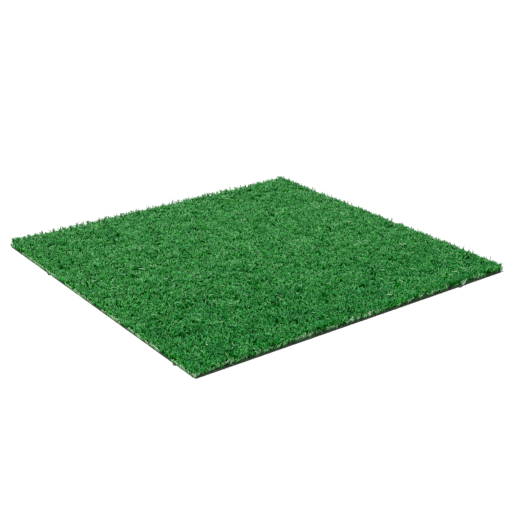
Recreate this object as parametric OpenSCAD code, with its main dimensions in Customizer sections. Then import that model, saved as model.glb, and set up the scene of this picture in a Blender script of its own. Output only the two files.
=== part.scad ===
// Golf hitting mat: a square of tufted artificial turf on a thin rubber base.
// The mat lies flat, with +Z up. The origin is on the floor, under the middle of the mat.
// The tuft rows run along Y, one continuous yarn to a row, as a tufting machine sews them.

/* [Mat] */
// Size across the tuft rows
mat_width = 500; // [200:5:530]
// Size along the tuft rows
mat_length = 500; // [200:5:900]
// Radius of the trimmed corners
corner_radius = 5; // [1:0.5:20]

/* [Backing] */
// Thickness of the rubber base
base_thickness = 1.6; // [1:0.1:12]
// Thickness of the latex coat that locks the stitches
latex_thickness = 0.9; // [0.7:0.1:3]
// Thickness of one tape of the woven primary backing
tape_thickness = 0.25; // [0.15:0.05:0.8]
// Width of the ridges that the rows leave under the base
ridge_width = 5.5; // [3:0.1:8]
// Depth of the grooves between those ridges
groove_depth = 0.4; // [0.2:0.1:0.8]
// Plain border between the edge and the ends of the grooves
groove_inset = 10; // [6:0.5:40]

/* [Tufting] */
// Distance from one tuft row to the next
row_gauge = 9.525; // [9:0.025:16]
// Distance from one tuft to the next along a row
stitch_length = 8.33; // [7:0.01:16]
// Least distance from the edge of the mat to the middle of a tuft
edge_margin = 2.3; // [2:0.1:10]
// Thickness of the yarn where it passes through the backing
yarn_diameter = 2.6; // [1.6:0.1:3.4]
// Thickness of the back stitch, which lies flat under the cloth
back_stitch_thickness = 0.5; // [0.3:0.05:0.6]
// Room round the yarn in its needle hole and in the latex
yarn_clearance = 0.05; // [0:0.01:0.2]

/* [Pile] */
// Mean height of the pile above the woven backing
pile_height = 9.6; // [6:0.1:30]
// Most that one tuft stands above or below the mean
height_scatter = 0.7; // [0:0.1:1.5]
// Height of the rounded crown of a tuft
crown_height = 3.4; // [1.5:0.1:5]
// Width of the flat top of a crown
tip_width = 2.8; // [1:0.1:5]
// Gap between the crowns of neighbouring tufts
crown_gap = 0.35; // [0.2:0.05:2]
// Seed of the scatter in height
scatter_seed = 7; // [1:1:99]

/* [Hidden] */
$fn = 48;
yarn_radius = yarn_diameter / 2;
hole_half = yarn_radius + yarn_clearance;
crown_radius = (min(row_gauge, stitch_length) - crown_gap) / 2;
tip_radius = min(tip_width / 2, crown_radius);

// Levels of the stack, from the floor up
latex_bottom = base_thickness;
cloth_bottom = latex_bottom + latex_thickness;
weft_bottom = cloth_bottom + tape_thickness;
cloth_top = weft_bottom + tape_thickness;
stitch_bottom = cloth_bottom - back_stitch_thickness;

// The rows and stitches that fit on the mat, spread about its middle
row_count = floor((mat_width - 2 * edge_margin) / row_gauge) + 1;
stitch_count = floor((mat_length - 2 * edge_margin) / stitch_length) + 1;
function row_x(row) = (row - (row_count - 1) / 2) * row_gauge;
function stitch_y(stitch) = (stitch - (stitch_count - 1) / 2) * stitch_length;

// Half the length of the mat at a distance from its long middle line, round corners included
function half_length_at(x) =
    let (into_corner = max(0, abs(x) - (mat_width / 2 - corner_radius)))
    let (drop = corner_radius - sqrt(max(0, pow(corner_radius, 2) - pow(into_corner, 2))))
    mat_length / 2 - drop;

// Stitches of a row whose needle holes leave an edge of cloth at a round corner
land = edge_margin - hole_half;
function holds_tuft(x, y) = abs(y) + hole_half + land / 2 <= half_length_at(abs(x) + hole_half);
function stitches_of(row) =
    [for (stitch = [0:stitch_count - 1]) if (holds_tuft(row_x(row), stitch_y(stitch))) stitch];

function row_name(row) = str("tuft_row_", row < 9 ? "0" : "", row + 1);

// Outline of the cut mat
module mat_outline() {
    square([mat_width - 2 * corner_radius, mat_length], center = true);
    square([mat_width, mat_length - 2 * corner_radius], center = true);
    for (side_x = [-1, 1], side_y = [-1, 1])
        translate([side_x * (mat_width / 2 - corner_radius), side_y * (mat_length / 2 - corner_radius)])
            circle(corner_radius);
}

// Strip with round ends along Y, from one y to another
module rounded_strip(x, y_from, y_to, radius) {
    translate([x - radius, y_from]) square([2 * radius, y_to - y_from]);
    translate([x, y_from]) circle(radius);
    translate([x, y_to]) circle(radius);
}

// Course of a row's back stitch, with a margin round the yarn
module back_stitch_outline(row, margin) {
    stitches = stitches_of(row);
    rounded_strip(
        row_x(row),
        stitch_y(stitches[0]),
        stitch_y(stitches[len(stitches) - 1]),
        yarn_radius + margin);
}

// Base: a rubber sheet whose underside keeps the ridges of the rows
module rubber_base() {
    groove_radius = (row_gauge - ridge_width) / 2;
    groove_end = mat_length / 2 - groove_inset - groove_radius;
    color([0.16, 0.15, 0.14])
    difference() {
        linear_extrude(base_thickness) mat_outline();
        for (row = [0:row_count - 2])
            translate([0, 0, -groove_depth])
                linear_extrude(2 * groove_depth)
                    rounded_strip(row_x(row) + row_gauge / 2, -groove_end, groove_end, groove_radius);
    }
}

// Latex: cast round the back stitches, so it has a channel for each row
module latex_coat() {
    color([0.26, 0.24, 0.22])
    translate([0, 0, latex_bottom])
    difference() {
        linear_extrude(latex_thickness) mat_outline();
        for (row = [0:row_count - 1])
            translate([0, 0, latex_thickness - back_stitch_thickness])
                linear_extrude(2 * back_stitch_thickness) back_stitch_outline(row, yarn_clearance);
    }
}

// Warp tapes: the lower tapes of the primary backing, one between each two rows of needles
module warp_tapes() {
    color([0.09, 0.09, 0.09])
    translate([0, 0, cloth_bottom])
    linear_extrude(tape_thickness)
    intersection() {
        mat_outline();
        for (gap = [0:row_count]) {
            left = gap == 0 ? -mat_width / 2 : row_x(gap - 1) + hole_half;
            right = gap == row_count ? mat_width / 2 : row_x(gap) - hole_half;
            translate([left, -mat_length / 2]) square([right - left, mat_length]);
        }
    }
}

// Weft tapes: the upper tapes, laid across the warp between the stitches
module weft_tapes() {
    color([0.12, 0.12, 0.12])
    translate([0, 0, weft_bottom])
    linear_extrude(tape_thickness)
    intersection() {
        mat_outline();
        for (gap = [0:stitch_count]) {
            near = gap == 0 ? -mat_length / 2 : stitch_y(gap - 1) + hole_half;
            far = gap == stitch_count ? mat_length / 2 : stitch_y(gap) - hole_half;
            translate([-mat_width / 2, near]) square([mat_width, far - near]);
        }
    }
}

// One tuft: the yarn comes up through its hole, flares into a bundle and ends in a round crown
module tuft(height) {
    shoulder = cloth_top + height - crown_height;
    rotate_extrude()
        polygon([
            [0, stitch_bottom],
            [yarn_radius, stitch_bottom],
            [yarn_radius, cloth_top],
            [crown_radius, shoulder],
            [tip_radius, cloth_top + height],
            [0, cloth_top + height]
        ]);
}

// One row: a single yarn, with its back stitch under the cloth and its tufts above
module tuft_row(row) {
    stitches = stitches_of(row);
    scatter = rands(-height_scatter, height_scatter, stitch_count, scatter_seed + row);
    color([0.18, 0.48, 0.24]) {
        translate([0, 0, stitch_bottom]) linear_extrude(back_stitch_thickness) back_stitch_outline(row, 0);
        for (stitch = stitches)
            translate([row_x(row), stitch_y(stitch), 0]) tuft(pile_height + scatter[stitch]);
    }
}

rubber_base();
latex_coat();
warp_tapes();
weft_tapes();
for (row = [0:row_count - 1])
    tuft_row(row);
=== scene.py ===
# %% [markdown]
# # A golf hitting mat
#
# The object is a square of artificial turf, half a metre wide. A tufting machine sewed curly green yarn
# through a woven cloth, row after row. Latex locks the stitches underneath and a thin rubber base carries
# it all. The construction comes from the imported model: base, latex, tapes and one yarn per row. Blender
# adds what the solids leave out, and that is mostly the pile: thousands of tufts of curled fibres.

import math
import random
from collections import namedtuple

import bmesh
import bpy
import numpy as np
from mathutils import Matrix, Vector, noise


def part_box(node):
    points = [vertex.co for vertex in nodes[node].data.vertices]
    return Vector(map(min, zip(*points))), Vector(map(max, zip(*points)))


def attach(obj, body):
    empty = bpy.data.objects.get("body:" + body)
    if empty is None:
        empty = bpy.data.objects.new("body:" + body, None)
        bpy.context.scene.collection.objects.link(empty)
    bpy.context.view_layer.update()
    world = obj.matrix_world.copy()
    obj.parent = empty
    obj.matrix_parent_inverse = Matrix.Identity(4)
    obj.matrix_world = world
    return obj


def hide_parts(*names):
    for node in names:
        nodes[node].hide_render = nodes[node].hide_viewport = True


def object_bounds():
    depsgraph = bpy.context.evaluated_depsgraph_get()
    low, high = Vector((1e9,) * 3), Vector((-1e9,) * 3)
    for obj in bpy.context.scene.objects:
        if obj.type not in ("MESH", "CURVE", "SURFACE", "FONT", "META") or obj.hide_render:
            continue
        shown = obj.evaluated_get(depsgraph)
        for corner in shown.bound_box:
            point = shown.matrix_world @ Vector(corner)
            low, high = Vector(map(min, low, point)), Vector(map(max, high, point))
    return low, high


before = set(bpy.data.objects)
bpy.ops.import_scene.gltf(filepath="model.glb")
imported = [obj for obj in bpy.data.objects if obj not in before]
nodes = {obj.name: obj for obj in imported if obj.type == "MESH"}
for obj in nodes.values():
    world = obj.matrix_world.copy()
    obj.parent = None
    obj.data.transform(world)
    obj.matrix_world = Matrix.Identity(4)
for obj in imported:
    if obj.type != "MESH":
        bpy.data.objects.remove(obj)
cad_low, cad_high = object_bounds()
scene = bpy.context.scene
MM = 0.001
print("frame:", len(nodes), "nodes, from", tuple(cad_low), "to", tuple(cad_high))

# %% [markdown]
# ## The camera
#
# The photograph looks at the mat from above its near corner. The four cut edges of the square fix the lens,
# the place and the tilt of such a camera, so they were fitted once and are written here as real sizes.
# The camera's axes are built by hand from heading, pitch and roll, because a constraint would leave no roll.

# %% Camera
SENSOR_MM = 36.0
LENS_MM = 71.32
CAMERA_PLACE = Vector((-0.7695, -1.0833, 0.5428))
CAMERA_HEADING = math.radians(54.144)
CAMERA_PITCH = math.radians(22.005)
CAMERA_ROLL = math.radians(-0.50)


def camera_axes(heading, pitch, roll):
    """The camera's right, up and backward axes as the columns of a matrix."""
    level = math.cos(pitch)
    forward = Vector((level * math.cos(heading), level * math.sin(heading), -math.sin(pitch)))
    right = Vector((math.sin(heading), -math.cos(heading), 0.0))
    up = right.cross(forward)
    turned_right = math.cos(roll) * right + math.sin(roll) * up
    turned_up = math.cos(roll) * up - math.sin(roll) * right
    return Matrix((turned_right, turned_up, -forward)).transposed()


camera_data = bpy.data.cameras.new("camera")
camera_data.sensor_width = SENSOR_MM
camera_data.lens = LENS_MM
camera = bpy.data.objects.new("camera", camera_data)
camera.matrix_world = (
    Matrix.Translation(CAMERA_PLACE)
    @ camera_axes(CAMERA_HEADING, CAMERA_PITCH, CAMERA_ROLL).to_4x4()
)
scene.collection.objects.link(camera)
scene.camera = camera
print("camera:", round(camera_data.lens, 1), "mm at", tuple(round(c, 3) for c in camera.location))

# %% [markdown]
# ## The floor
#
# The mat lies on white paper. One large square does for it, a hair below the mat, because two faces at the
# same height would flicker through each other. Every mesh in this lesson starts as a bmesh, so the helper
# that turns one into a mesh with a material is defined here.

# %% Floor
FLOOR_SIZE = 12.0
FLOOR_DROP = 0.05 * MM
PAPER_WHITE = 0.88
PAPER_ROUGHNESS = 0.9


def mesh_from(bm, name, material):
    """Turns a bmesh into a mesh that wears one material."""
    mesh = bpy.data.meshes.new(name)
    bm.to_mesh(mesh)
    bm.free()
    mesh.materials.append(material)
    return mesh


def paper_material():
    paper = bpy.data.materials.new("white paper")
    paper.use_nodes = True
    shader = paper.node_tree.nodes["Principled BSDF"]
    shader.inputs["Base Color"].default_value = (PAPER_WHITE, PAPER_WHITE, PAPER_WHITE, 1)
    shader.inputs["Roughness"].default_value = PAPER_ROUGHNESS
    return paper


def make_floor():
    bm = bmesh.new()
    bmesh.ops.create_grid(bm, x_segments=1, y_segments=1, size=FLOOR_SIZE / 2)
    bmesh.ops.translate(bm, verts=bm.verts, vec=(0, 0, cad_low[2] - FLOOR_DROP))
    floor = bpy.data.objects.new("floor", mesh_from(bm, "floor", paper_material()))
    scene.collection.objects.link(floor)
    return floor


print("floor:", FLOOR_SIZE, "m of paper at", round(make_floor().data.vertices[0].co.z, 6))

# %% [markdown]
# ## The light
#
# The photograph was lit by one wide lamp high on the left, in a white room. An area lamp could stand there,
# but a sun with a soft edge gives the same light all over the mat and has no place to tune. The room is much
# dimmer than the lamp, so that the gaps between the tufts fall dark and the glossy fibres glint, yet the
# camera sees it as white as the paper. The plain view transform keeps the paper white and the green clean.
# The denoiser is off, because it smears a pile whose fibres are about one pixel wide.

# %% Light
ROOM_STRENGTH = 0.26
LAMP_STRENGTH = 3.75
LAMP_SOFTNESS = math.radians(16)
LAMP_FROM = Vector((-0.40, -0.14, 1.0))


def make_room():
    """A world that is dim for the light it gives and white for the camera."""
    room = bpy.data.worlds.new("white room")
    room.use_nodes = True
    tree = room.node_tree
    background = tree.nodes["Background"]
    background.inputs["Color"].default_value = (1, 1, 1, 1)
    path = tree.nodes.new("ShaderNodeLightPath")
    strength = tree.nodes.new("ShaderNodeMapRange")
    strength.inputs["To Min"].default_value = ROOM_STRENGTH
    tree.links.new(path.outputs["Is Camera Ray"], strength.inputs["Value"])
    tree.links.new(strength.outputs["Result"], background.inputs["Strength"])
    return room


lamp_data = bpy.data.lights.new("lamp", "SUN")
lamp_data.energy = LAMP_STRENGTH
lamp_data.angle = LAMP_SOFTNESS
lamp = bpy.data.objects.new("lamp", lamp_data)
lamp.rotation_euler = (-LAMP_FROM).to_track_quat("-Z", "Y").to_euler()
scene.collection.objects.link(lamp)
scene.world = make_room()
scene.view_settings.view_transform = "Standard"
scene.cycles.use_denoising = False
print("light:", lamp.name, "and", scene.world.name)

# %% [markdown]
# ## Grain, a shared effect
#
# Three finishes lie under the pile: rubber, latex and the tapes of the cloth. Rubber and latex are cast, so
# their surface is rough and has specks in it. One node group serves both, and its scales are inputs. It gives
# a mask of specks and the height of the surface. It reads Object coordinates, so the grain stays put on the
# part.

# %% Grain group
GRAIN_INPUTS = (("Scale", 900.0), ("Speck Scale", 300.0))
SPECK_CORE = 0.05
SPECK_EDGE = 0.55


def new_group(name, inputs, outputs):
    """An empty shader node group with float inputs (name, value) and float outputs."""
    group = bpy.data.node_groups.new(name, "ShaderNodeTree")
    for label, value in inputs:
        socket = group.interface.new_socket(label, in_out="INPUT", socket_type="NodeSocketFloat")
        socket.default_value = value
    for label in outputs:
        group.interface.new_socket(label, in_out="OUTPUT", socket_type="NodeSocketFloat")
    return group, group.nodes.new("NodeGroupInput"), group.nodes.new("NodeGroupOutput")


def grain_group():
    group, ends_in, ends_out = new_group("grain", GRAIN_INPUTS, ("Height", "Specks"))
    where = group.nodes.new("ShaderNodeTexCoord")
    rough = group.nodes.new("ShaderNodeTexNoise")
    rough.inputs["Detail"].default_value = 4.0
    specks = group.nodes.new("ShaderNodeTexVoronoi")
    spread = group.nodes.new("ShaderNodeMapRange")
    spread.inputs["From Min"].default_value = SPECK_CORE
    spread.inputs["From Max"].default_value = SPECK_EDGE
    spread.inputs["To Min"].default_value = 1.0
    spread.inputs["To Max"].default_value = 0.0
    group.links.new(where.outputs["Object"], rough.inputs["Vector"])
    group.links.new(where.outputs["Object"], specks.inputs["Vector"])
    group.links.new(ends_in.outputs["Scale"], rough.inputs["Scale"])
    group.links.new(ends_in.outputs["Speck Scale"], specks.inputs["Scale"])
    group.links.new(specks.outputs["Distance"], spread.inputs["Value"])
    group.links.new(rough.outputs["Fac"], ends_out.inputs["Height"])
    group.links.new(spread.outputs["Result"], ends_out.inputs["Specks"])
    return group


grain = grain_group()
print("group:", grain.name, "with", len(grain.nodes), "nodes")

# %% [markdown]
# ## Ribs, a second effect
#
# A tape of the cloth is drawn from plastic, and that leaves fine lines along it. A wave texture makes the
# lines and noise breaks them up. The tapes of the two layers cross, so the turn of the lines is an input and
# one group does for both.

# %% Ribs group
RIBS_INPUTS = (("Scale", 500.0), ("Turn", 0.0))
RIB_BLUR_SCALE = 140.0


def ribs_group():
    group, ends_in, ends_out = new_group("ribs", RIBS_INPUTS, ("Height", "Lines"))
    where = group.nodes.new("ShaderNodeTexCoord")
    turn = group.nodes.new("ShaderNodeVectorRotate")
    turn.rotation_type = "Z_AXIS"
    wave = group.nodes.new("ShaderNodeTexWave")
    wave.bands_direction = "X"
    wave.inputs["Distortion"].default_value = 1.5
    wave.inputs["Detail"].default_value = 2.0
    blur = group.nodes.new("ShaderNodeTexNoise")
    blur.inputs["Scale"].default_value = RIB_BLUR_SCALE
    lines = group.nodes.new("ShaderNodeMath")
    lines.operation = "MULTIPLY"
    group.links.new(where.outputs["Object"], turn.inputs["Vector"])
    group.links.new(ends_in.outputs["Turn"], turn.inputs["Angle"])
    group.links.new(turn.outputs["Vector"], wave.inputs["Vector"])
    group.links.new(ends_in.outputs["Scale"], wave.inputs["Scale"])
    group.links.new(where.outputs["Object"], blur.inputs["Vector"])
    group.links.new(wave.outputs["Fac"], lines.inputs[0])
    group.links.new(blur.outputs["Fac"], lines.inputs[1])
    group.links.new(wave.outputs["Fac"], ends_out.inputs["Height"])
    group.links.new(lines.outputs["Value"], ends_out.inputs["Lines"])
    return group


ribs = ribs_group()
print("group:", ribs.name, "with", len(ribs.nodes), "nodes")

# %% [markdown]
# ## A finish from an effect
#
# In each finish under the pile, the mask from a group mixes two colours and two values of roughness, and the
# height feeds a Bump node. Each could be a tree of its own, but one function builds them all, so that a
# finish is only a few numbers.

# %% Backing material
Finish = namedtuple("Finish", "dark light rough_dark rough_light bump")
BACKING_SPECULAR = 0.2
BUMP_DISTANCE = 0.2 * MM


def backing_material(name, group, values, mask, finish):
    """A material whose colour, roughness and bump all come from one of the shared groups."""
    material = bpy.data.materials.new(name)
    material.use_nodes = True
    tree = material.node_tree
    shader = tree.nodes["Principled BSDF"]
    shader.inputs["Specular IOR Level"].default_value = BACKING_SPECULAR
    effect = tree.nodes.new("ShaderNodeGroup")
    effect.node_tree = group
    for label, value in values:
        effect.inputs[label].default_value = value
    colours = tree.nodes.new("ShaderNodeMix")
    colours.data_type = "RGBA"
    colours.inputs["A"].default_value = (*finish.dark, 1)
    colours.inputs["B"].default_value = (*finish.light, 1)
    roughness = tree.nodes.new("ShaderNodeMapRange")
    roughness.inputs["To Min"].default_value = finish.rough_dark
    roughness.inputs["To Max"].default_value = finish.rough_light
    bump = tree.nodes.new("ShaderNodeBump")
    bump.inputs["Strength"].default_value = finish.bump
    bump.inputs["Distance"].default_value = BUMP_DISTANCE
    tree.links.new(effect.outputs[mask], colours.inputs["Factor"])
    tree.links.new(effect.outputs[mask], roughness.inputs["Value"])
    tree.links.new(effect.outputs["Height"], bump.inputs["Height"])
    tree.links.new(colours.outputs["Result"], shader.inputs["Base Color"])
    tree.links.new(roughness.outputs["Result"], shader.inputs["Roughness"])
    tree.links.new(bump.outputs["Normal"], shader.inputs["Normal"])
    return material


print("finish:", ", ".join(Finish._fields))

# %% [markdown]
# ## The finishes under the pile
#
# The rubber is a dark olive grey with paler crumbs in it, as recycled rubber has. The latex is darker still
# and dull with chalk, and where it has set outside the cut it is paler and has a little gloss. The tapes are
# dark green, so that no black shows between the tufts. The four layers keep the solids they came with and
# only get these finishes.

# %% Backing finishes
CRUMB_RUBBER = Finish((0.026, 0.036, 0.022), (0.150, 0.172, 0.120), 0.75, 0.92, 0.5)
CHALKY_LATEX = Finish((0.008, 0.015, 0.007), (0.055, 0.068, 0.042), 0.70, 0.88, 0.4)
SET_LATEX = Finish((0.036, 0.045, 0.028), (0.120, 0.138, 0.095), 0.45, 0.70, 0.3)
WOVEN_TAPE = Finish((0.003, 0.065, 0.009), (0.014, 0.100, 0.021), 0.70, 0.86, 0.3)
rubber = backing_material(
    "crumb rubber", grain, (("Scale", 900.0), ("Speck Scale", 420.0)), "Specks", CRUMB_RUBBER)
latex = backing_material(
    "chalky latex", grain, (("Scale", 600.0), ("Speck Scale", 260.0)), "Specks", CHALKY_LATEX)
set_latex = backing_material(
    "set latex", grain, (("Scale", 900.0), ("Speck Scale", 500.0)), "Specks", SET_LATEX)
warp_tape = backing_material(
    "woven tape along", ribs, (("Scale", 420.0), ("Turn", 0.0)), "Lines", WOVEN_TAPE)
weft_tape = backing_material(
    "woven tape across", ribs, (("Scale", 420.0), ("Turn", math.pi / 2)), "Lines", WOVEN_TAPE)
BACKING = {
    "rubber_base": rubber,
    "latex_coat": latex,
    "warp_tapes": warp_tape,
    "weft_tapes": weft_tape,
}
for name, material in BACKING.items():
    nodes[name].data.materials.clear()
    nodes[name].data.materials.append(material)
print("backing:", ", ".join(f"{name} in {material.name}" for name, material in BACKING.items()))

# %% [markdown]
# ## The finish of the yarn
#
# Turf yarn is nylon, dyed in the mass, so a fibre has one colour, but no two fibres look alike: some are
# bluer, some yellower, and the cut ends are pale; that paleness is also a painted highlight. Each fibre
# carries two numbers in a UV map: U is its tone and V is how high the point lies in the pile. Two ramps
# turn them into a colour. The ramp by height is painted shade and painted highlight: deep in the pile it
# leaves a pure dark green, the painted shade of light that has met green fibres on its way, and at the tips
# it adds red and blue as a painted highlight. A noise texture could vary the colour too, but this way each
# fibre keeps its own, and it is exact at any texture size.

# %% Yarn material
FIBRE_MAP = "OFBake"
YARN_TONES = (
    (0.00, (0.010, 0.165, 0.022)),
    (0.25, (0.019, 0.260, 0.044)),
    (0.50, (0.044, 0.345, 0.055)),
    (0.75, (0.074, 0.430, 0.082)),
    (0.88, (0.122, 0.525, 0.146)),
    (0.94, (0.320, 0.610, 0.330)),
    (1.00, (0.460, 0.520, 0.320)),
)
# Painted shade and painted highlight by height: dark green deep in the pile, red and blue added at the tips.
PAINTED_HEIGHT_SHADE = (
    (0.00, (0.00, 0.86, 0.00)),
    (0.40, (0.06, 0.92, 0.08)),
    (0.72, (0.66, 0.96, 0.68)),
    (1.00, (2.66, 1.17, 2.52)),
)
YARN_ROUGHNESS = 0.36
YARN_SPECULAR = 0.20


def fill_ramp(ramp, stops):
    """Sets a colour ramp to a list of (position, colour)."""
    while len(ramp.elements) < len(stops):
        ramp.elements.new(0.5)
    for element, (position, colour) in zip(ramp.elements, stops):
        element.position = position
        element.color = (*colour, 1)


def yarn_material():
    material = bpy.data.materials.new("curly nylon yarn")
    material.use_nodes = True
    tree = material.node_tree
    shader = tree.nodes["Principled BSDF"]
    shader.inputs["Roughness"].default_value = YARN_ROUGHNESS
    shader.inputs["Specular IOR Level"].default_value = YARN_SPECULAR
    where = tree.nodes.new("ShaderNodeUVMap")
    where.uv_map = FIBRE_MAP
    split = tree.nodes.new("ShaderNodeSeparateXYZ")
    tone = tree.nodes.new("ShaderNodeValToRGB")
    # The ramp by height paints shade deep in the pile and a highlight at the tips.
    shade = tree.nodes.new("ShaderNodeValToRGB")
    fill_ramp(tone.color_ramp, YARN_TONES)
    fill_ramp(shade.color_ramp, PAINTED_HEIGHT_SHADE)
    mix = tree.nodes.new("ShaderNodeMix")
    mix.data_type = "RGBA"
    mix.blend_type = "MULTIPLY"
    mix.inputs["Factor"].default_value = 1.0
    tree.links.new(where.outputs["UV"], split.inputs["Vector"])
    tree.links.new(split.outputs["X"], tone.inputs["Fac"])
    tree.links.new(split.outputs["Y"], shade.inputs["Fac"])
    tree.links.new(tone.outputs["Color"], mix.inputs["A"])
    tree.links.new(shade.outputs["Color"], mix.inputs["B"])
    tree.links.new(mix.outputs["Result"], shader.inputs["Base Color"])
    return material


yarn = yarn_material()
print("material:", yarn.name, "with", len(YARN_TONES), "tones")

# %% [markdown]
# ## The start of a fibre
#
# A fibre is a flat nylon strand, about two millimetres wide. A ribbon without thickness would be lighter, but
# a closed section is shaded rightly from all sides, and a flattened triangle is the simplest one. It is set
# across the way that the fibre will grow. Each vertex holds the fibre's tone, a little different from corner
# to corner, because a face without any area in the UV map can't be baked.

# %% Start a fibre
FIBRE_SIDES = 3
FIBRE_THICKNESS = 0.36
TONE_WIDTH = 0.004


def new_yarn_bmesh():
    """An empty bmesh with a layer for the tone of each vertex."""
    bm = bmesh.new()
    return bm, bm.verts.layers.float.new("tone")


def start_fibre(bm, tones, root, direction, width, spin, tone):
    """The flat triangle that a fibre grows from, as its vertices and its face."""
    start = bmesh.ops.create_circle(bm, cap_ends=True, segments=FIBRE_SIDES, radius=width / math.sqrt(3))
    verts = start["verts"]
    bmesh.ops.scale(bm, verts=verts, vec=(1, FIBRE_THICKNESS, 1))
    stand = Vector((0, 0, 1)).rotation_difference(direction).to_matrix()
    bmesh.ops.rotate(bm, verts=verts, matrix=stand @ Matrix.Rotation(spin, 3, "Z"))
    bmesh.ops.translate(bm, verts=verts, vec=root)
    for corner, vert in enumerate(verts):
        vert[tones] = tone + TONE_WIDTH * (corner - 1)
    return verts, list({face for vert in verts for face in vert.link_faces})


print("fibre:", FIBRE_SIDES, "sides,", FIBRE_THICKNESS, "as thick as wide")

# %% [markdown]
# ## One fibre
#
# Turf yarn is crimped so that it curls. A fibre could be a curve with a bevel, but a mesh keeps its UV map
# and joins quickly. The triangle is extruded step by step: each step moves the end on, turns it a little and
# tapers it. The upper steps are shorter, because that is where the curl shows. The last three rings can be
# paler than the rest, which makes a pale cut end that is also a painted highlight.

# %% Grow a fibre
FIBRE_STRIDES = (0.30, 0.22, 0.18, 0.16, 0.14)
PALE_RINGS = (0.45, 0.85, 1.0)


def ends_of(grown):
    """The new vertices and the new end face of an extrusion."""
    verts = [item for item in grown["geom"] if isinstance(item, bmesh.types.BMVert)]
    faces = [item for item in grown["geom"] if isinstance(item, bmesh.types.BMFace)]
    return verts, faces


def grow_fibre(bm, tones, root, direction, length, width, bends, spin, tone, taper, pale_end=0.0,
               strides=FIBRE_STRIDES):
    """Extrudes one curled fibre and returns its vertices. bends is one (axis, angle) for each step."""
    before = len(bm.verts)
    verts, faces = start_fibre(bm, tones, root, direction, width, spin, tone)
    rings = [verts]
    centre = root.copy()
    heading = direction.copy()
    for step, (share, (axis, angle)) in enumerate(zip(strides, bends)):
        passed = faces
        verts, faces = ends_of(bmesh.ops.extrude_face_region(bm, geom=passed))
        if step:
            bmesh.ops.delete(bm, geom=passed, context="FACES_ONLY")
        turn = Matrix.Rotation(angle, 3, axis)
        stride = heading * length * share
        bmesh.ops.translate(bm, verts=verts, vec=stride)
        centre += stride
        heading = turn @ heading
        bmesh.ops.rotate(bm, verts=verts, cent=centre, matrix=turn)
        bmesh.ops.scale(bm, verts=verts, vec=(taper,) * 3, space=Matrix.Translation(-centre))
        rings.append(verts)
    # A pale cut end, which is also a painted highlight.
    for ring, share in zip(rings[-len(PALE_RINGS):], PALE_RINGS):
        for vert in ring:
            vert[tones] += share * pale_end
    bm.verts.ensure_lookup_table()
    return bm.verts[before:]


print("fibre:", len(FIBRE_STRIDES), "steps, the last", len(PALE_RINGS), "rings pale")

# %% [markdown]
# ## Tone and height in the UV map
#
# The numbers that colour a fibre are written last, when it has its shape. The tone comes from the vertices
# and the height from their place, and the height sets the painted shade and highlight. An end face lies
# level, so all its corners would share one point of the map. One corner is set a little off, because a face
# without any area in the map can't be baked.

# %% Paint a fibre


def paint(bm, tones, low, high, full_height):
    """Writes the UV map: U is the tone, V the painted shade, from low to high over the full height of the
    pile.
    """
    uv = bm.loops.layers.uv.new(FIBRE_MAP)
    for face in bm.faces:
        face.smooth = True
        is_end = len(face.verts) == FIBRE_SIDES
        for corner, loop in enumerate(face.loops):
            height = min(1.0, max(0.0, loop.vert.co.z / full_height))
            lift = 0.0
            if is_end and corner == 1:
                lift = TONE_WIDTH if height < 0.5 else -TONE_WIDTH
            loop[uv].uv = (loop.vert[tones], low + (high - low) * height + lift)


def fibre_mesh(bm, name, material):
    """Turns a bmesh of fibres into a mesh, without the layer of tones that it no longer needs."""
    bmesh.ops.recalc_face_normals(bm, faces=bm.faces)
    bm.verts.layers.float.remove(bm.verts.layers.float["tone"])
    return mesh_from(bm, name, material)


print("map:", FIBRE_MAP, "holds tone and height")

# %% [markdown]
# ## How fibres grow
#
# Most fibres of a curly pile are hooked at the end, some are crimped all the way and some stand up as
# straight spikes. Thin wisps stick out above the rest. Each of these habits is a set of ranges: how far a
# fibre leans, how much its stem and its end bend at each step, how much the bend turns, how high it reaches
# and how it tapers. Angles are in degrees, and the reach is a share of the height of the pile.

# %% Fibre habits
HOOK_START = 2

Habit = namedtuple("Habit", "share lean stem hook twist reach taper")
HOOKED = Habit(0.36, 7, (-12, 16), (24, 58), (-35, 35), (0.84, 1.04), 0.88)
CRIMPED = Habit(0.28, 9, (-30, 30), (-40, 44), (50, 110), (0.88, 1.06), 0.86)
SPIKE = Habit(0.36, 6, (-9, 9), (-12, 16), (-40, 40), (1.00, 1.20), 0.78)
WISP = Habit(0.0, 10, (-9, 9), (-16, 20), (-40, 40), (1.00, 1.36), 0.90)


def pick_habit(rng):
    chance = rng.random()
    for habit in (HOOKED, CRIMPED):
        if chance < habit.share:
            return habit
        chance -= habit.share
    return SPIKE


def fibre_bends(rng, habit, axis):
    """One (axis, angle) for each step: small bends in the stem, larger ones near the end."""
    bends = []
    for step in range(len(FIBRE_STRIDES)):
        angle = rng.uniform(*(habit.hook if step >= HOOK_START else habit.stem))
        bends.append((axis.copy(), math.radians(angle)))
        axis = Matrix.Rotation(math.radians(rng.uniform(*habit.twist)), 3, "Z") @ axis
    return bends


def any_way(rng):
    """A compass way by chance, in radians."""
    return rng.uniform(0, 2 * math.pi)


def level_side(way):
    """The level axis across a compass way."""
    return Vector((-math.sin(way), math.cos(way), 0))


def leaned(way, lean):
    """An upright direction that leans by an angle in degrees towards a compass way."""
    tilt = math.radians(lean)
    return Vector((math.cos(way) * math.sin(tilt), math.sin(way) * math.sin(tilt), math.cos(tilt)))


print("habits: hooked", HOOKED.share, "crimped", CRIMPED.share, "spiked", SPIKE.share)

# %% [markdown]
# ## One ply
#
# A yarn is spun from plies, small bundles of fibres that stay together when the yarn opens. The fibres of a
# ply share a foot, a lean and a tone, so the pile looks clotted and not like fur. A hair system could grow
# such a pile, but it knows neither stitches nor plies. A curled fibre comes out shorter than its length, so
# each one is stretched to the height that its habit asks for.

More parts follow.
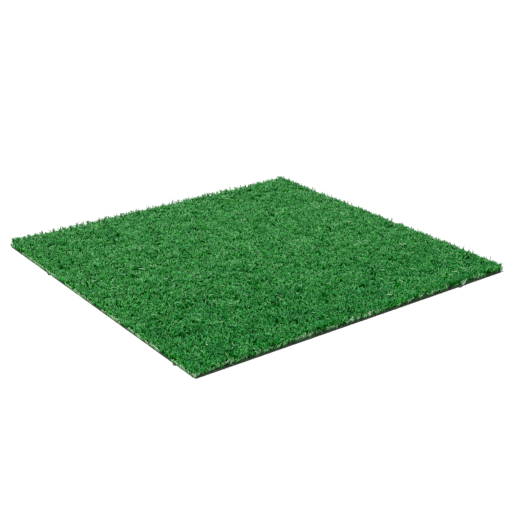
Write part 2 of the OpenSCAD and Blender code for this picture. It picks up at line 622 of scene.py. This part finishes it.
# %% Grow a ply
PILE_HEIGHT = 9.6 * MM
FIBRE_SLACK = 1.3
WAY_SPREAD = 0.5
FOOT_SCATTER = 0.35
FIBRE_TONE_SPREAD = 0.035
LEAST_TONE = 0.02
MOST_TONE = 0.80

Ply = namedtuple("Ply", "foot way lean height tone pale_ends width")


def stretch_to(bm, fibre, height):
    """Scales a fibre upright so that its top comes to a height."""
    top = max(vert.co.z for vert in fibre)
    bmesh.ops.scale(bm, verts=fibre, vec=(1, 1, height / top))


def grow_ply(bm, tones, rng, ply, habits):
    """A few fibres from one foot that lean the same way."""
    for habit in habits:
        way = ply.way + rng.gauss(0, WAY_SPREAD)
        direction = leaned(way, max(0.0, ply.lean + rng.gauss(0, habit.lean)))
        scatter = Vector((rng.gauss(0, FOOT_SCATTER), rng.gauss(0, FOOT_SCATTER), 0)) * MM
        width = rng.uniform(*ply.width)
        bends = fibre_bends(rng, habit, level_side(way))
        spin = rng.uniform(0, math.pi)
        tone = min(MOST_TONE, max(LEAST_TONE, rng.gauss(ply.tone, FIBRE_TONE_SPREAD)))
        pale_end = rng.choice(ply.pale_ends)
        fibre = grow_fibre(
            bm, tones, ply.foot + scatter, direction, FIBRE_SLACK * PILE_HEIGHT, width, bends, spin, tone,
            habit.taper, pale_end)
        stretch_to(bm, fibre, rng.uniform(*habit.reach) * ply.height * PILE_HEIGHT)


print("ply:", ", ".join(Ply._fields))

# %% [markdown]
# ## One tuft
#
# At each stitch the yarn comes up through the cloth and opens into four plies that lean apart, with one spike
# in the middle. Every tuft could be grown anew, but a few dozen different ones are enough, because each is
# turned, leaned and stretched before it is used.

# %% Tuft patterns
TUFT_KINDS = 26
PLIES = 4
FIBRES_PER_PLY = 4
FIBRE_WIDTH = (1.7 * MM, 2.6 * MM)
ROOT_DEPTH = 0.3 * MM
PLY_FOOT = 0.9 * MM
PLY_TURN = 0.3
PLY_LEAN = (6, 24)
PLY_HEIGHT = (0.86, 1.04)
PLY_TONE = (0.43, 0.10)
# How much paler the end of a fibre may be: a pale cut end that is also a painted highlight.
PALE_ENDS = (0.00, 0.00, 0.08, 0.18, 0.38)
SPIKE_LEAN = 3
SPIKE_TONE = (0.47, 0.10)


def sink_roots(bm):
    """Flattens what dips under the root and sets the roots a little into the cloth."""
    for vert in bm.verts:
        vert.co.z = max(vert.co.z, 0.0) - ROOT_DEPTH


def make_tuft(seed):
    """A mesh of one tuft, with its root at the origin."""
    rng = random.Random(seed)
    bm, tones = new_yarn_bmesh()
    turn = any_way(rng)
    for number in range(PLIES):
        way = turn + 2 * math.pi * (number + rng.uniform(-PLY_TURN, PLY_TURN)) / PLIES
        foot = PLY_FOOT * Vector((math.cos(way), math.sin(way), 0))
        habits = [pick_habit(rng) for _ in range(FIBRES_PER_PLY)]
        lean = rng.uniform(*PLY_LEAN)
        height = rng.uniform(*PLY_HEIGHT)
        ply = Ply(foot, way, lean, height, rng.gauss(*PLY_TONE), PALE_ENDS, FIBRE_WIDTH)
        grow_ply(bm, tones, rng, ply, habits)
    spike = Ply(Vector(), turn, SPIKE_LEAN, 1.0, rng.gauss(*SPIKE_TONE), PALE_ENDS, FIBRE_WIDTH)
    grow_ply(bm, tones, rng, spike, [SPIKE])
    sink_roots(bm)
    paint(bm, tones, 0.0, 1.0, PILE_HEIGHT)
    return fibre_mesh(bm, "tuft pattern", yarn)


tuft_kinds = [make_tuft(seed) for seed in range(TUFT_KINDS)]
print("tufts:", len(tuft_kinds), "patterns of", len(tuft_kinds[0].polygons), "faces")

# %% [markdown]
# ## Tips for the rim
#
# At the rim the pile is seen from the side, and single fibres stand out of it. Tips are a second pattern for
# that: a few thin wisps from one foot, dark with painted shade, for their tone is darker, their ends are
# hardly pale and their shade stops short of the pale top of the ramp. They could be part of every tuft, but
# inside the mat nobody would see them.

# %% Tip patterns
TIP_KINDS = 10
TIP_SEED = 50
TIP_FIBRES = 5
TIP_LEAN = 8
TIP_HEIGHT = (0.95, 1.10)
# Tips are in painted shade: a darker tone, a shade that stops short of the top of the ramp, ends hardly pale.
TIP_TONE = (0.30, 0.07)
TIP_WIDTH = (0.8 * MM, 1.3 * MM)
TIP_SHADE = 0.78
DARK_ENDS = (0.0, 0.05, 0.30)


def make_tip(seed):
    rng = random.Random(seed)
    bm, tones = new_yarn_bmesh()
    way = any_way(rng)
    height = rng.uniform(*TIP_HEIGHT)
    ply = Ply(Vector(), way, TIP_LEAN, height, rng.gauss(*TIP_TONE), DARK_ENDS, TIP_WIDTH)
    grow_ply(bm, tones, rng, ply, [WISP] * TIP_FIBRES)
    sink_roots(bm)
    paint(bm, tones, 0.0, TIP_SHADE, PILE_HEIGHT)
    return fibre_mesh(bm, "tip pattern", yarn)


tip_kinds = [make_tip(TIP_SEED + kind) for kind in range(TIP_KINDS)]
print("tips:", len(tip_kinds), "patterns of", len(tip_kinds[0].polygons), "faces")

# %% [markdown]
# ## Cut tufts at the edge
#
# The mat was cut from a wider roll with a knife. Along the first row the knife ran through the tufts and
# left a low strip of pale stubs. Across the rows it left a pale bunch at the end of many of them, and thin
# blades splayed between two rows. A stub is the same fibre, only shorter and paler, so the same function
# grows it. Its paleness is partly its pale tone and partly painted highlight, from a span high on the
# ramp of painted shade.

# %% Stub patterns
STUB_KINDS = 8
STUB_TAPER = 0.94
STUB_REACH = (0.6, 1.1)

# shade is the span of the ramp of painted shade and highlight that a cut's fibres take; a high span is pale.
Cut = namedtuple("Cut", "fibres half_width half_depth fan height width tone shade seed")
STRIP = Cut(
    fibres=14, half_width=3.8 * MM, half_depth=0.9 * MM, fan=50, height=4.6 * MM,
    width=(1.2 * MM, 1.9 * MM), tone=(0.91, 0.97), shade=(0.68, 0.80), seed=100)
BUNCH = Cut(
    fibres=9, half_width=2.8 * MM, half_depth=0.5 * MM, fan=26, height=6.2 * MM,
    width=(1.0 * MM, 1.6 * MM), tone=(0.885, 0.935), shade=(0.73, 0.85), seed=200)
SPLAY = Cut(
    fibres=6, half_width=4.4 * MM, half_depth=1.0 * MM, fan=25, height=6.0 * MM,
    width=(0.5 * MM, 0.8 * MM), tone=(0.82, 0.97), shade=(0.50, 0.90), seed=300)


def make_stub(seed, cut):
    """Cut fibres in a line along X, fanned out along it by up to an angle in degrees."""
    rng = random.Random(seed)
    bm, tones = new_yarn_bmesh()
    for _ in range(cut.fibres):
        along = rng.uniform(-cut.half_width, cut.half_width)
        across = rng.uniform(-cut.half_depth, cut.half_depth)
        way = rng.choice((0, math.pi)) + rng.gauss(0, WAY_SPREAD)
        direction = leaned(way, rng.uniform(0, cut.fan))
        width = rng.uniform(*cut.width)
        bends = fibre_bends(rng, CRIMPED, level_side(way))
        spin = rng.uniform(0, math.pi)
        tone = rng.uniform(*cut.tone)
        fibre = grow_fibre(
            bm, tones, Vector((along, across, 0)), direction, FIBRE_SLACK * cut.height, width, bends, spin,
            tone, STUB_TAPER)
        stretch_to(bm, fibre, rng.uniform(*STUB_REACH) * cut.height)
    sink_roots(bm)
    paint(bm, tones, *cut.shade, cut.height)
    return fibre_mesh(bm, "stub pattern", yarn)


def stub_patterns(cut):
    return [make_stub(cut.seed + kind, cut) for kind in range(STUB_KINDS)]


strip_kinds = stub_patterns(STRIP)
bunch_kinds = stub_patterns(BUNCH)
splay_kinds = stub_patterns(SPLAY)
print("stubs:", len(strip_kinds + bunch_kinds + splay_kinds), "patterns")

# %% [markdown]
# ## Soft patches and painted shade on the near side
#
# No pile is even. Smooth noise shifts tone and height over the mat, so that it has the soft patches that dye
# lots and wear leave. The near side is a little darker than the rest, most of all at the near corner: that
# is painted shade, a falloff of the light painted into the tone. Textures could change the tone too, but as
# a shift of each tuft's own numbers it leaves the material simple.

# %% Patches over the mat
PATCHES_PER_METRE = 38.0
# Painted shade: the pile is darker towards the near corner.
PAINTED_SHADE_CORNER = Vector((-0.25, -0.25, 0))
PAINTED_SHADE_ALONG = 0.90
PAINTED_SHADE_INWARD = 0.24


def patch(x, y, layer):
    """Smooth noise over the mat, from about -1 to 1."""
    return noise.noise(Vector((x * PATCHES_PER_METRE, y * PATCHES_PER_METRE, layer)))


def painted_shade(x, y):
    """The painted shade on the pile, from 1 at the near corner to 0 a good way in from the near edge."""
    away = Vector((x, y, 0)) - PAINTED_SHADE_CORNER
    return max(0.0, 1.0 - math.hypot(away.x / PAINTED_SHADE_ALONG, away.y / PAINTED_SHADE_INWARD))


print("patches: soiled", painted_shade(*PAINTED_SHADE_CORNER.xy), "at the near corner and", painted_shade(0, 0), "in the middle")

# %% [markdown]
# ## Copies of a pattern
#
# A tuft goes into the pile as a copy of its pattern. Instances would be lighter, but each copy is leaned and
# stretched, has its own tone, and is combed back where it would hang over the cut edge. So a copy's mesh is
# changed by itself and then joined to its piece. Numpy does it for all vertices at once.

# %% Add a copy
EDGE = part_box("rubber_base")[1]
COMB = 0.30
DARKEST = 0.005
MINT = 0.88
CREAM = 0.995


def shift_tones(mesh, shift, palest):
    """Adds a shift to the tone of every fibre in a tuft, up to the palest tone that it may have."""
    layer = mesh.uv_layers[FIBRE_MAP].data
    places = np.empty(2 * len(layer), np.float32)
    layer.foreach_get("uv", places)
    places[0::2] = np.clip(places[0::2] + shift, DARKEST, palest)
    layer.foreach_set("uv", places)


def comb_back(mesh):
    """Pulls what reaches over the cut edge back towards it, and lifts what dips under the mat."""
    places = np.empty(3 * len(mesh.vertices), np.float32)
    mesh.vertices.foreach_get("co", places)
    grid = places.reshape(-1, 3)
    edge = np.array((EDGE.x, EDGE.y), np.float32)
    over = np.maximum(np.abs(grid[:, :2]) - edge, 0.0)
    grid[:, :2] -= np.sign(grid[:, :2]) * over * (1 - COMB)
    grid[:, 2] = np.maximum(grid[:, 2], cad_low[2])
    mesh.vertices.foreach_set("co", places)


def add_copy(bm, pattern, foot, wide, tall, upright, turn, shift, palest=MINT):
    """Adds one copy of a pattern to a piece."""
    copy = pattern.copy()
    tilt = Vector((0, 0, 1)).rotation_difference(upright).to_matrix().to_4x4()
    place = Matrix.Translation(foot)
    copy.transform(place @ tilt @ Matrix.Diagonal((wide, wide, tall, 1)) @ Matrix.Rotation(turn, 4, "Z"))
    comb_back(copy)
    shift_tones(copy, shift, palest)
    bm.from_mesh(copy)
    bpy.data.meshes.remove(copy)


print("copies: tones from", DARKEST, "to", MINT, "and for stubs to", CREAM)

# %% [markdown]
# ## The tufts in their rows
#
# Each tuft stands at its stitch on the cloth, a little off, leaned, turned and stretched by chance. A few are
# trodden flat, and their tone is darkened as painted shade, so that the hollow they leave reads dark. The
# tufts of the two outer rows lean out over the edge, and those at the row ends lean a little inward. One
# seeded source of chance serves the whole pile, so the mat comes out the same each time.

# %% Sew a tuft
LEAN = 8.0
RIM_LEAN = Vector((0.16, -0.05, 0))
JITTER = 0.8 * MM
TUFT_STRETCH = (0.80, 1.08)
TUFT_SPREAD = (0.95, 1.18)
TONE_CHANCE = 0.03
TONE_PATCHES = 0.22
TONE_LAYER = 0.0
HEIGHT_PATCHES = 0.12
HEIGHT_LAYER = 5.0
PAINTED_SHADE_TONE = 0.22
FLAT_SHARE = 0.03
FLAT_STRETCH = (0.4, 0.6)
FLAT_PAINTED_SHADE = 0.15
cloth_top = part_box("weft_tapes")[1][2]
sew = random.Random(11)


def rim_lean(outward):
    """The lean that only tufts at the rim have: outward in an outer row, inward at the end of a row."""
    return Vector((RIM_LEAN.x * outward.x, RIM_LEAN.y * outward.y, 0))


def nearly_upright():
    return leaned(any_way(sew), sew.uniform(0, LEAN))


def sew_tuft(bm, x, y, outward, stretch=1.0):
    """One tuft at a stitch, turned, leaned and stretched by chance."""
    tall = stretch * (sew.uniform(*TUFT_STRETCH) + HEIGHT_PATCHES * patch(x, y, HEIGHT_LAYER))
    # The tone shift holds random tone, soft patches and the painted shade towards the near corner.
    shift = sew.gauss(0, TONE_CHANCE) + TONE_PATCHES * patch(x, y, TONE_LAYER) - PAINTED_SHADE_TONE * painted_shade(x, y)
    # A flat tuft is lower, and its darker tone is painted shade in its hollow.
    if sew.random() < FLAT_SHARE:
        tall *= sew.uniform(*FLAT_STRETCH)
        shift -= FLAT_PAINTED_SHADE
    jitter = Vector((sew.uniform(-JITTER, JITTER), sew.uniform(-JITTER, JITTER), cloth_top))
    upright = nearly_upright() + rim_lean(outward)
    kind = sew.choice(tuft_kinds)
    wide = sew.uniform(*TUFT_SPREAD)
    add_copy(bm, kind, Vector((x, y, 0)) + jitter, wide, tall, upright, any_way(sew), shift)


print("tufts: up to", LEAN, "degrees off upright, from", round(cloth_top / MM, 2), "mm up")

# %% [markdown]
# ## The rim
#
# Most tufts at the rim have tips among them. Beside the last row the far rim would show gaps, so lower tufts
# fill the places between its stitches. They could be a row of their own, but there is no room for one on the
# cloth.

# %% Sew the rim
ROW_NAMES = sorted(name for name in nodes if name.startswith("tuft_row_"))
STITCHES = 60
STITCH_LENGTH = 8.33 * MM
TIP_SHARE = 0.85
TIP_STRETCH = (0.9, 1.1)
RIM_STRETCH = 0.85


def sew_tip(bm, x, y, outward):
    """Wisps in painted shade in a tuft at the rim."""
    upright = nearly_upright() + rim_lean(outward)
    kind = sew.choice(tip_kinds)
    tall = sew.uniform(*TIP_STRETCH)
    turn = any_way(sew)
    add_copy(bm, kind, Vector((x, y, cloth_top)), 1.0, tall, upright, turn, sew.gauss(0, TONE_CHANCE))


def sew_rim(bm, x, y, outward):
    """What closes the rim: lower tufts between those of the last row, and tips in most places."""
    if outward.x > 0:
        sew_tuft(bm, x, y + STITCH_LENGTH / 2, outward, RIM_STRETCH)
    if sew.random() < TIP_SHARE:
        sew_tip(bm, x, y, outward)


def outward_at(row, stitch):
    """Which way the nearest edge lies for a tuft at the rim, nowhere for one inside."""
    x = (row == len(ROW_NAMES) - 1) - (row == 0)
    y = (stitch == STITCHES - 1) - (stitch == 0)
    return Vector((x, y, 0))


print("rim: round", len(ROW_NAMES), "rows of", STITCHES, "stitches")

# %% [markdown]
# ## What the knife left
#
# The stubs stand along the cut. Beside the first row they come in long runs with short breaks, low on the
# cut, and the tufts behind them stand a little farther in. At the ends of the rows there are bunches, more of
# them towards the first row, and splayed blades between the rows. Each stub is a copy of a pattern, like a
# tuft, but it keeps in line with the cut and may be paler.

# %% Sew stubs
ROW_GAUGE = 9.525 * MM
STUB_STRETCH = (0.7, 1.15)
STRIP_SHIFT = (1.4 * MM, 2.4 * MM)
STRIP_DROP = (0.9 * MM, 2.7 * MM)
HALF_CUT = 2.2 * MM
CUT_RUN = (3, 9)
CUT_BREAK = (1, 3)
END_INSET = (0.5 * MM, 1.6 * MM)
END_SCATTER = 1.2

RowEnd = namedtuple("RowEnd", "kinds first_share last_share aside")
ROW_ENDS = (
    RowEnd(bunch_kinds, 0.95, 0.15, 0.0),
    RowEnd(splay_kinds, 0.90, 0.90, ROW_GAUGE / 2),
)


def sew_stub(bm, kinds, foot, turn):
    """One cut tuft, in line with the cut."""
    upright = nearly_upright()
    kind = sew.choice(kinds)
    tall = sew.uniform(*STUB_STRETCH)
    either_way = turn + sew.choice((0, math.pi))
    add_copy(bm, kind, foot, 1.0, tall, upright, either_way, sew.gauss(0, TONE_CHANCE), CREAM)


def sew_row_ends(bm, x):
    """What the knife left of the tufts at both ends of a row, and of the fibres between two rows."""
    across = (x + EDGE.x) / (2 * EDGE.x)
    for end in (-1, 1):
        for left in ROW_ENDS:
            if sew.random() < left.first_share + (left.last_share - left.first_share) * across:
                y = end * (EDGE.y - sew.uniform(*END_INSET))
                scatter = sew.uniform(-END_SCATTER, END_SCATTER) * MM
                sew_stub(bm, left.kinds, Vector((x + left.aside + scatter, y, cloth_top)), 0.0)


def sew_strip(bm, x, y):
    """What the knife left of a tuft that it ran along."""
    foot = Vector((x - sew.uniform(*STRIP_SHIFT), y, cloth_top - sew.uniform(*STRIP_DROP)))
    sew_stub(bm, strip_kinds, foot, math.pi / 2)


def knife_runs():
    """For each stitch of the first row, whether the knife cut its tuft: long runs with short breaks."""
    cut = []
    while len(cut) < STITCHES:
        cut += [True] * sew.randint(*CUT_RUN) + [False] * sew.randint(*CUT_BREAK)
    return cut[:STITCHES]


print("cut: runs of", CUT_RUN, "stitches along the first row,", len(ROW_ENDS), "kinds of row end")

# %% [markdown]
# ## The pile
#
# The rows stand where the solids have them, and each finished piece takes the place of its rows' solids.
# Four rows make one piece, which keeps a piece well under two hundred thousand triangles. The patterns have
# done their work then and are removed.

# %% Sew the rows
ROWS_PER_PIECE = 4


def row_middle(name):
    low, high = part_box(name)
    return (low[0] + high[0]) / 2


def stitch_place(stitch):
    return (stitch - (STITCHES - 1) / 2) * STITCH_LENGTH


def add_piece(label, mesh, slot, *replaced):
    """Links a finished mesh as a piece that rides on the mat."""
    piece = bpy.data.objects.new(label, mesh)
    scene.collection.objects.link(piece)
    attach(piece, "root")
    if replaced:
        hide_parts(*replaced)
    return piece


def sew_row(bm, row, x):
    cut = knife_runs() if row == 0 else [False] * STITCHES
    for stitch in range(STITCHES):
        y = stitch_place(stitch)
        outward = outward_at(row, stitch)
        if cut[stitch]:
            sew_strip(bm, x, y)
        tuft_x = x + HALF_CUT * cut[stitch]
        sew_tuft(bm, tuft_x, y, outward)
        if outward.length:
            sew_rim(bm, tuft_x, y, outward)
    sew_row_ends(bm, x)


def sew_rows(first, names):
    bm = bmesh.new()
    for row, name in enumerate(names, first):
        sew_row(bm, row, row_middle(name))
    label = f"pile_{names[0][-2:]}_to_{names[-1][-2:]}"
    return add_piece(label, mesh_from(bm, label, yarn), "pile", *names)


pile = []
for first in range(0, len(ROW_NAMES), ROWS_PER_PIECE):
    pile.append(sew_rows(first, ROW_NAMES[first:first + ROWS_PER_PIECE]))
for pattern in tuft_kinds + tip_kinds + strip_kinds + bunch_kinds + splay_kinds:
    bpy.data.meshes.remove(pattern)
print("pile:", len(pile), "pieces,", sum(len(piece.data.vertices) for piece in pile), "vertices")

# %% [markdown]
# ## Loose fibres
#
# No cut pile is tidy. Pale fibres have come loose and lie curled on the tufts. They are the same fibres
# again, with more steps and sharper bends, and they lie down instead of standing up. A piece of their own
# keeps them apart from the rows, which stay as they were sewn.

# %% Loose fibres
STRAYS = 120
STRAY_STEPS = 8
STRAY_INSET = 10 * MM
STRAY_LEVEL = (0.96, 1.08)
STRAY_LEAN = (82, 90)
STRAY_BEND = (8, 45)
STRAY_LENGTH = (4 * MM, 10 * MM)
STRAY_WIDTH = (1.0 * MM, 1.5 * MM)
STRAY_TAPER = 0.97
STRAY_TONE = (0.90, 0.94)
STRAY_SHADE = (0.30, 0.79)
strew = random.Random(23)


def even_strides(steps):
    return (1 / steps,) * steps


def bends_about(axis, angles):
    """Bends in degrees about one axis, one for each step of a fibre."""
    return [(axis, math.radians(angle)) for angle in angles]


def curled_bends(steps):
    """Bends to the left or to the right about the upright axis."""
    sides = [strew.choice((-1, 1)) * (-1) ** step for step in range(steps)]
    return bends_about(Vector((0, 0, 1)), [side * strew.uniform(*STRAY_BEND) for side in sides])


def lay_strays(bm, tones):
    for _ in range(STRAYS):
        x = strew.uniform(-1, 1) * (EDGE.x - STRAY_INSET)
        y = strew.uniform(-1, 1) * (EDGE.y - STRAY_INSET)
        root = Vector((x, y, cloth_top + PILE_HEIGHT * strew.uniform(*STRAY_LEVEL)))
        direction = leaned(any_way(strew), strew.uniform(*STRAY_LEAN))
        length = strew.uniform(*STRAY_LENGTH)
        width = strew.uniform(*STRAY_WIDTH)
        bends = curled_bends(STRAY_STEPS)
        tone = strew.uniform(*STRAY_TONE)
        grow_fibre(
            bm, tones, root, direction, length, width, bends, 0.0, tone, STRAY_TAPER,
            strides=even_strides(STRAY_STEPS))


def loose_piece(label, lay, shade):
    """A piece of loose fibres, in a shade that runs from the first value at the floor to the second."""
    bm, tones = new_yarn_bmesh()
    lay(bm, tones)
    paint(bm, tones, *shade, cloth_top + PILE_HEIGHT)
    return add_piece(label, fibre_mesh(bm, label, yarn), "pile")


strays = loose_piece("loose_fibres", lay_strays, STRAY_SHADE)
print("loose:", STRAYS, "fibres with", len(strays.data.vertices), "vertices")

# %% [markdown]
# ## A loose thread
#
# One long thread hangs out of the pile, over the near edge and down to the floor. It is a fibre of ten even
# steps that all bend about one axis, so it falls in a clean arc. A simulated rope would hang the same way,
# but nothing about a thread this short needs one.

# %% Loose thread
THREAD_ROOT = Vector((-0.2005, -0.2368, 0.0128))
THREAD_WAY = Vector((-0.39, -0.92, 0.02))
THREAD_AXIS = Vector((0.82, -0.35, 0.45))
THREAD_BENDS = (0, 0, 2, 12, 24, 28, 18, 8, 3, 0)
THREAD_LENGTH = 23.5 * MM
THREAD_WIDTH = 0.4 * MM
THREAD_SHADE = (0.66, 0.72)


def hang_thread(bm, tones):
    bends = bends_about(THREAD_AXIS, THREAD_BENDS)
    grow_fibre(
        bm, tones, THREAD_ROOT, THREAD_WAY.normalized(), THREAD_LENGTH, THREAD_WIDTH, bends, 0.0, CREAM,
        1.0, strides=even_strides(len(bends)))


thread = loose_piece("loose_thread", hang_thread, THREAD_SHADE)
print("loose:", thread.name, "with", len(THREAD_BENDS), "steps")

# %% [markdown]
# ## A torn yarn end
#
# In one place the knife tore the end of a yarn out of its row, and it lies in front of the cut. Three strands
# side by side, each shorter than the one before, make a ragged end. They share their bends, because they were
# one yarn.

# %% Torn yarn end
TORN_ROOT = Vector((0.1705, -0.2505, 0.002))
TORN_WAY = Vector((0.72, -0.06, 0.66))
TORN_AXIS = Vector((0, 1, 0))
TORN_BENDS = (0, -14, 10, -20, 12)
TORN_LENGTHS = (10.5 * MM, 8.5 * MM, 5.0 * MM)
TORN_STEP = Vector((1.3 * MM, 0, 0))
TORN_WIDTH = 1.7 * MM
TORN_TAPER = 0.92
TORN_TONE = 0.93
TORN_SHADE = (0.80, 0.86)


def lay_torn_end(bm, tones):
    bends = bends_about(TORN_AXIS, TORN_BENDS)
    for number, length in enumerate(TORN_LENGTHS):
        grow_fibre(
            bm, tones, TORN_ROOT + number * TORN_STEP, TORN_WAY.normalized(), length, TORN_WIDTH, bends,
            0.0, TORN_TONE, TORN_TAPER)


torn_end = loose_piece("torn_yarn_end", lay_torn_end, TORN_SHADE)
print("loose:", torn_end.name, "with", len(TORN_LENGTHS), "strands")

# %% [markdown]
# ## Tape ends at the cut
#
# The knife leaves more than a clean face: ends of tape stick out of the cloth all round. The solids' tapes
# could be drawn out there, but a frayed end points anywhere. So each end is a thin fibre again, in the finish
# of the tapes, and it hardly tapers.

# %% Tape ends
CUT_REACH = 0.96
FRAY_BEND = 14
TAPE_ENDS = 130
TAPE_END_LENGTH = (1.2 * MM, 3.6 * MM)
TAPE_END_WIDTH = (0.35 * MM, 0.6 * MM)
TAPE_END_TAPER = 0.96
TAPE_END_SPREAD = 0.4
TAPE_END_RISE = 0.3
TAPE_END_HELD = 0.5 * MM
TAPE_END_LOWEST = 0.2 * MM
fray = random.Random(31)
latex_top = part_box("latex_coat")[1][2]


def cut_place():
    """A place on the cut edge and the way out of the mat there."""
    along = fray.uniform(-CUT_REACH, CUT_REACH)
    side = fray.choice((-1, 1))
    if fray.random() < 0.5:
        return Vector((side * EDGE.x, along * EDGE.y, 0)), Vector((side, 0, 0))
    return Vector((along * EDGE.x, side * EDGE.y, 0)), Vector((0, side, 0))


def frayed_bends(axis):
    return bends_about(axis, [fray.gauss(0, FRAY_BEND) for _ in FIBRE_STRIDES])


def fray_tapes():
    bm, tones = new_yarn_bmesh()
    for _ in range(TAPE_ENDS):
        place, out = cut_place()
        place.z = fray.uniform(latex_top, cloth_top)
        aside = Vector((
            fray.gauss(0, TAPE_END_SPREAD), fray.gauss(0, TAPE_END_SPREAD), fray.gauss(0, TAPE_END_RISE)))
        bends = frayed_bends(Vector((-out.y, out.x, 0)))
        length = fray.uniform(*TAPE_END_LENGTH)
        width = fray.uniform(*TAPE_END_WIDTH)
        grow_fibre(
            bm, tones, place - TAPE_END_HELD * out, (out + aside).normalized(), length, width, bends,
            fray.uniform(0, math.pi), 0.0, TAPE_END_TAPER)
    for vert in bm.verts:
        vert.co.z = max(vert.co.z, TAPE_END_LOWEST)
    return add_piece("tape_ends", fibre_mesh(bm, "tape_ends", warp_tape), "backing_cloth")


print("cut edge:", TAPE_ENDS, "ends of tape in", fray_tapes().name)

# %% [markdown]
# ## Latex beads and lumps
#
# Latex that was pressed out between the layers has set along the cut, in beads and in three larger lumps. A
# bead could be sculpted, but a small sphere, drawn out along the cut and sunk a little into it, is enough at
# this size.

# %% Latex beads and lumps
BEADS = 320
BEAD_RADIUS = (0.35 * MM, 0.75 * MM)
BEAD_DRAWN = (1.0, 3.2)
BEAD_SUNK = 0.15 * MM
LUMP_RADIUS = 1.2 * MM
LUMP_DRAWN = 2.8
LUMP_SPREAD = 2.4
NEAR = Vector((0, -1, 0))
LEFT = Vector((-1, 0, 0))
LUMPS = (
    (Vector((0.167, -0.250, LUMP_RADIUS)), NEAR),
    (Vector((-0.250, -0.208, LUMP_RADIUS)), LEFT),
    (Vector((-0.250, 0.118, LUMP_RADIUS)), LEFT),
)
base_top = EDGE.z


def press_bead(bm, place, out, radius, drawn, spread=1.0):
    """One bead of latex on the cut, drawn out along it and spread away from it."""
    bead = bmesh.ops.create_icosphere(bm, subdivisions=2, radius=radius)["verts"]
    along = Vector((abs(out.y), abs(out.x), 0))
    away = Vector((abs(out.x), abs(out.y), 0))
    stretch = drawn * along + spread * away + Vector((0, 0, 1))
    bmesh.ops.scale(bm, verts=bead, vec=stretch)
    bmesh.ops.translate(bm, verts=bead, vec=place - BEAD_SUNK * out)


def press_beads():
    bm = bmesh.new()
    for _ in range(BEADS):
        place, out = cut_place()
        place.z = fray.uniform(base_top, latex_top)
        radius = fray.uniform(*BEAD_RADIUS)
        press_bead(bm, place, out, radius, fray.uniform(*BEAD_DRAWN))
    for place, out in LUMPS:
        press_bead(bm, place, out, LUMP_RADIUS, LUMP_DRAWN, LUMP_SPREAD)
    for face in bm.faces:
        face.smooth = True
    return add_piece("latex_beads", mesh_from(bm, "latex_beads", set_latex), "latex")


print("cut edge:", BEADS, "beads and", len(LUMPS), "lumps in", press_beads().name)

# %% [markdown]
# ## Stubs of painted shade
#
# At the row ends a dark fringe stands under the pale one: it is painted shade along the foot of the pile at
# the cut. The stubs are short fibres on the latex and wear its finish. Paint on the pale stubs would be
# another way, but these stand lower and closer together.

# %% Stubs of painted shade
# Dark stubs in the latex finish: painted shade at the foot of the pile along the cut.
SHADE_STUBS = 460
SHADE_STUB_REACH = 0.98
SHADE_STUB_LENGTH = (1.8 * MM, 3.6 * MM)
SHADE_STUB_WIDTH = (1.1 * MM, 1.8 * MM)
SHADE_STUB_INSET = 0.3 * MM
SHADE_STUB_LEAN = 14


def make_shade_stubs():
    bm, tones = new_yarn_bmesh()
    for _ in range(SHADE_STUBS):
        side = fray.choice((-1, 1))
        x = fray.uniform(-SHADE_STUB_REACH, SHADE_STUB_REACH) * EDGE.x
        root = Vector((x, side * (EDGE.y - SHADE_STUB_INSET), latex_top))
        direction = leaned(any_way(fray), fray.uniform(0, SHADE_STUB_LEAN))
        bends = frayed_bends(Vector((0, 1, 0)))
        length = fray.uniform(*SHADE_STUB_LENGTH)
        width = fray.uniform(*SHADE_STUB_WIDTH)
        grow_fibre(
            bm, tones, root, direction, length, width, bends, fray.uniform(0, math.pi), 0.0, STUB_TAPER)
    return add_piece("painted_shade_stubs", fibre_mesh(bm, "painted_shade_stubs", latex), "latex")


print("cut edge:", SHADE_STUBS, "stubs in", make_shade_stubs().name)
